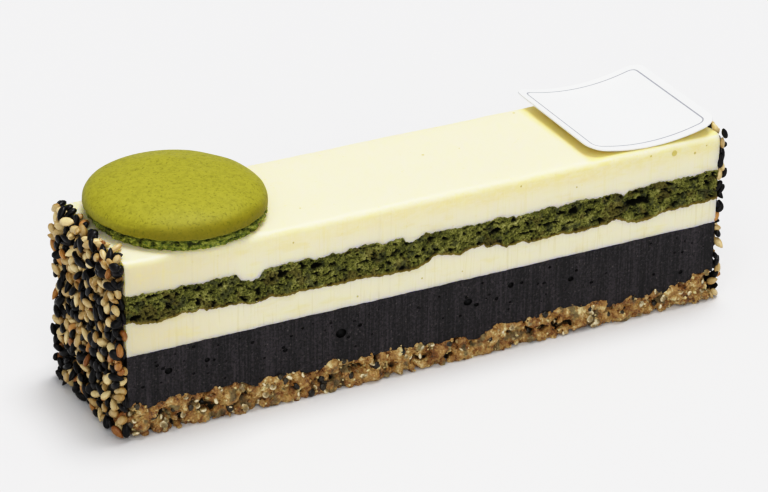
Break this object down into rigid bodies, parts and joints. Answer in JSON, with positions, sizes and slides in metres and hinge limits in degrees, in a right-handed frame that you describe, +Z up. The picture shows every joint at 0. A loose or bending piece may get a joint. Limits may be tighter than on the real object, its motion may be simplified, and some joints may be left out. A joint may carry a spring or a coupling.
{
  "type": "opera cake",
  "caption": "Knife-cut layered cake bar with seed-coated ends, a macaron shell and a small bowed paper card on top.",
  "frame": {"origin": "middle of the whole object's footprint, on the plane it rests on", "axes": "+X along the bar from the macaron to the card, +Z up, so the pictured long side faces -Y"},
  "size_m": [0.1322, 0.0352, 0.0441],
  "materials": {
    "crunch": "crumbly",
    "ganache": "satin",
    "cream": "satin",
    "sponge": "porous",
    "sesame": "satin",
    "macaron": "matte",
    "paper": "matte"
  },
  "bodies": {
    "root": {"crunch_base": "crunch", "ganache": "ganache", "lower_cream": "cream", "sponge": "sponge", "upper_cream": "cream", "sesame_left": "sesame", "sesame_right": "sesame", "macaron_shell": "macaron", "paper_card": "paper"}
  },
  "joints": []
}
